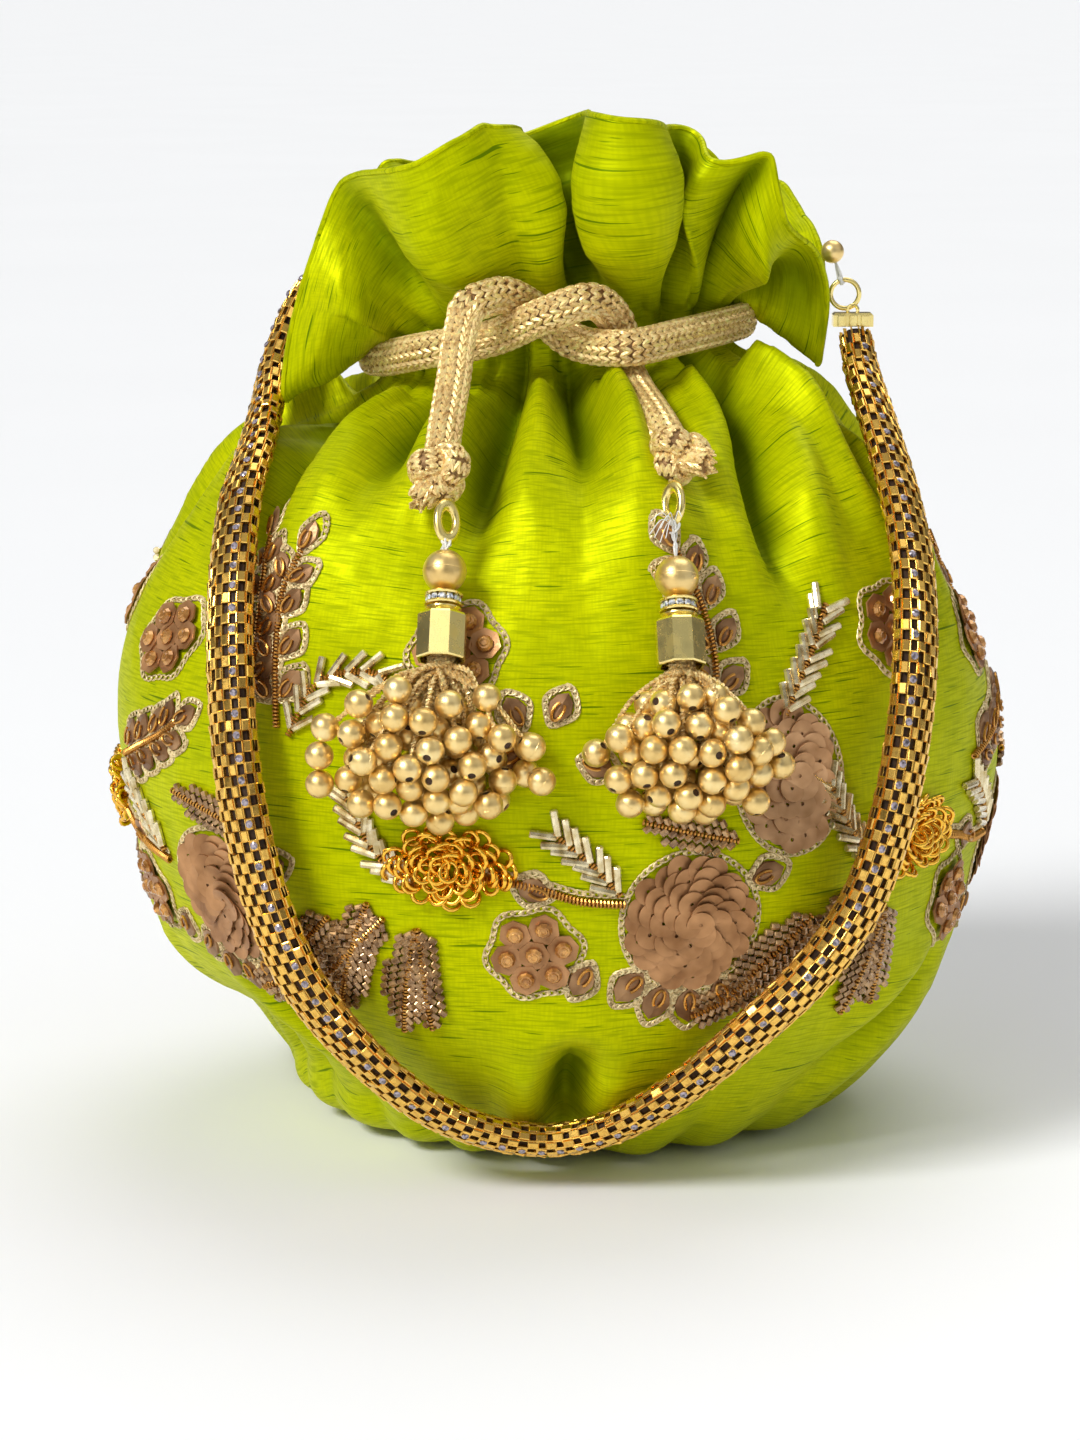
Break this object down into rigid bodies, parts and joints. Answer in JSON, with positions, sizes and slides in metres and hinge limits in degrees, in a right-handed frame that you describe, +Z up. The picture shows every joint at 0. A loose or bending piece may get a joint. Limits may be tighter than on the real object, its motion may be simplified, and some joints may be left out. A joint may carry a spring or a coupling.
{
  "type": "embroidered drawstring pouch",
  "caption": "Round silk drawstring pouch with a flared frill, beaded embroidery, knotted cord ends with bead tassels and a swinging box-link mesh handle.",
  "frame": {"origin": "centre of the flat round base, on the surface that the pouch stands on", "axes": "+Z up through the neck, -Y towards the front with the knot and tassels, +X to the viewer's right"},
  "size_m": [0.204, 0.1825, 0.2317],
  "materials": {
    "silk": "raw silk, satin sheen with a slubbed cross weave",
    "lining": "matte cotton lining",
    "gold_cord": "knitted metallic yarn",
    "strand": "twisted metallic yarn",
    "thread": "matte polyester thread",
    "brass_trim": "polished gold plate",
    "box_mesh": "polished antique-gold plate with dark gaps",
    "pearl_bead": "satin champagne-gold coating",
    "crystal": "cut clear stones in a plated ring",
    "sequin": "satin copper-brown film",
    "gold_coil": "bright coiled wire",
    "amber_disc": "satin brown discs with amber bead centres",
    "cut_bead": "bronze-lined cut glass"
  },
  "bodies": {
    "pouch": {"base_panel": "silk", "pouch_shell": "silk", "lining": "lining", "frill": "silk", "drawstring": "gold_cord", "coil_flower_1": "gold_coil", "sequin_flower_low_1": "sequin", "sequin_flower_high_1": "sequin", "disc_flower_1": "amber_disc", "beaded_leaf_1": "cut_bead", "coil_flower_2": "gold_coil", "sequin_flower_low_2": "sequin", "sequin_flower_high_2": "sequin", "disc_flower_2": "amber_disc", "beaded_leaf_2": "cut_bead", "coil_flower_3": "gold_coil", "sequin_flower_low_3": "sequin", "sequin_flower_high_3": "sequin", "disc_flower_3": "amber_disc", "beaded_leaf_3": "cut_bead", "coil_flower_4": "gold_coil", "sequin_flower_low_4": "sequin", "sequin_flower_high_4": "sequin", "disc_flower_4": "amber_disc", "beaded_leaf_4": "cut_bead", "coil_flower_5": "gold_coil", "sequin_flower_low_5": "sequin", "disc_flower_5": "amber_disc", "beaded_leaf_5": "cut_bead"},
    "handle": {"handle_mesh": "box_mesh", "handle_bar_left": "brass_trim", "handle_ring_left": "brass_trim", "anchor_bead_left": "pearl_bead", "anchor_thread_left": "thread", "handle_bar_right": "brass_trim", "handle_ring_right": "brass_trim", "anchor_bead_right": "pearl_bead", "anchor_thread_right": "thread"},
    "cord_end_left": {"tail_left": "gold_cord", "knot_left": "gold_cord"},
    "tassel_head_left": {"end_ring_left": "brass_trim", "link_thread_left": "thread", "round_bead_left": "pearl_bead", "rondelle_left": "crystal", "bell_cap_left": "brass_trim"},
    "tassel_skirt_left": {"strand_fan_left": "strand", "bead_cluster_left": "pearl_bead"},
    "cord_end_right": {"tail_right": "gold_cord", "knot_right": "gold_cord"},
    "tassel_head_right": {"end_ring_right": "brass_trim", "link_thread_right": "thread", "round_bead_right": "pearl_bead", "rondelle_right": "crystal", "bell_cap_right": "brass_trim"},
    "tassel_skirt_right": {"strand_fan_right": "strand", "bead_cluster_right": "pearl_bead"}
  },
  "joints": [
    {"name": "handle_swing", "type": "hinge", "parent": "pouch", "child": "handle", "pos_m": [0.002, 0.0014, 0.2023], "axis": [-0.9944, 0.0834, 0.0651], "range_deg": [0, 170]},
    {"name": "cord_end_left_swing", "type": "hinge", "parent": "pouch", "child": "cord_end_left", "pos_m": [-0.0202, -0.0385, 0.1875], "axis": [-1, 0, 0], "range_deg": [0, 55]},
    {"name": "tassel_left_swing", "type": "hinge", "parent": "cord_end_left", "child": "tassel_head_left", "pos_m": [-0.0232, -0.067, 0.1504], "axis": [-1, 0, 0], "range_deg": [0, 70]},
    {"name": "skirt_left_swing", "type": "hinge", "parent": "tassel_head_left", "child": "tassel_skirt_left", "pos_m": [-0.02436, -0.08237, 0.12088], "axis": [-1, 0, 0], "range_deg": [0, 28]},
    {"name": "cord_end_right_swing", "type": "hinge", "parent": "pouch", "child": "cord_end_right", "pos_m": [0.0153, -0.0286, 0.1744], "axis": [-1, 0, 0], "range_deg": [0, 22]},
    {"name": "tassel_right_swing", "type": "hinge", "parent": "cord_end_right", "child": "tassel_head_right", "pos_m": [0.0238, -0.0642, 0.1538], "axis": [-1, 0, 0], "range_deg": [0, 70]},
    {"name": "skirt_right_swing", "type": "hinge", "parent": "tassel_head_right", "child": "tassel_skirt_right", "pos_m": [0.02529, -0.08206, 0.1195], "axis": [-1, 0, 0], "range_deg": [0, 28]}
  ]
}
